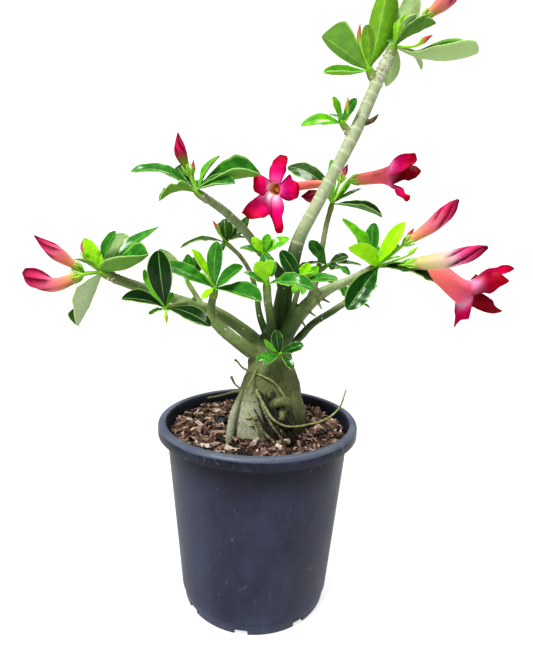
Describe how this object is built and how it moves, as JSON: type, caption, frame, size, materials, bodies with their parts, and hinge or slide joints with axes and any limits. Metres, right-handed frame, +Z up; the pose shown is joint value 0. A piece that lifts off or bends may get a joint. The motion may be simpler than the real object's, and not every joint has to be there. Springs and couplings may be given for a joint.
{
  "type": "potted desert rose",
  "caption": "Desert rose with a swollen base, branching stems, leafy sprays, trumpet flowers and buds, growing in bark chips in a plain round nursery pot.",
  "frame": {"origin": "centre of the pot's flat underside, where it rests", "axes": "+Z up, -Y towards the side that the plant is looked at from, +X to the right of that view, where the long stem leans"},
  "size_m": [0.4032, 0.175, 0.5171],
  "materials": {
    "pot": "satin moulded plastic, blue-black",
    "potting_mix": "rough bark chips",
    "stem": "smooth grey-green skin with pale scars",
    "leaf": "glossy above, pale and matt below",
    "flower": "soft petals, magenta with crimson edges and salmon tubes"
  },
  "bodies": {
    "root": {"pot": "pot", "soil": "potting_mix", "wood": "stem", "leaves_far_left": "leaf", "leaves_upper_left": "leaf", "leaves_behind_left": "leaf", "leaves_inner_left": "leaf", "leaves_back_left": "leaf", "leaves_low_left": "leaf", "leaves_centre_front": "leaf", "leaves_centre_upper": "leaf", "leaves_centre_right": "leaf", "leaves_behind_centre": "leaf", "leaves_behind_stem": "leaf", "leaves_right": "leaf", "leaves_low_right": "leaf", "leaves_trunk": "leaf", "leaves_top_left": "leaf", "leaves_top": "leaf", "leaves_mid_stem": "leaf", "bud_far_left": "flower", "bud_far_left_opening": "flower", "bud_far_left_small": "flower", "bud_upper_left": "flower", "bud_stem_dark": "flower", "bud_stem_small": "flower", "bud_right_upper": "flower", "bud_right_lower": "flower", "bud_top": "flower", "bloom_front": "flower", "bloom_stem_side": "flower", "bloom_right": "flower"}
  },
  "joints": []
}
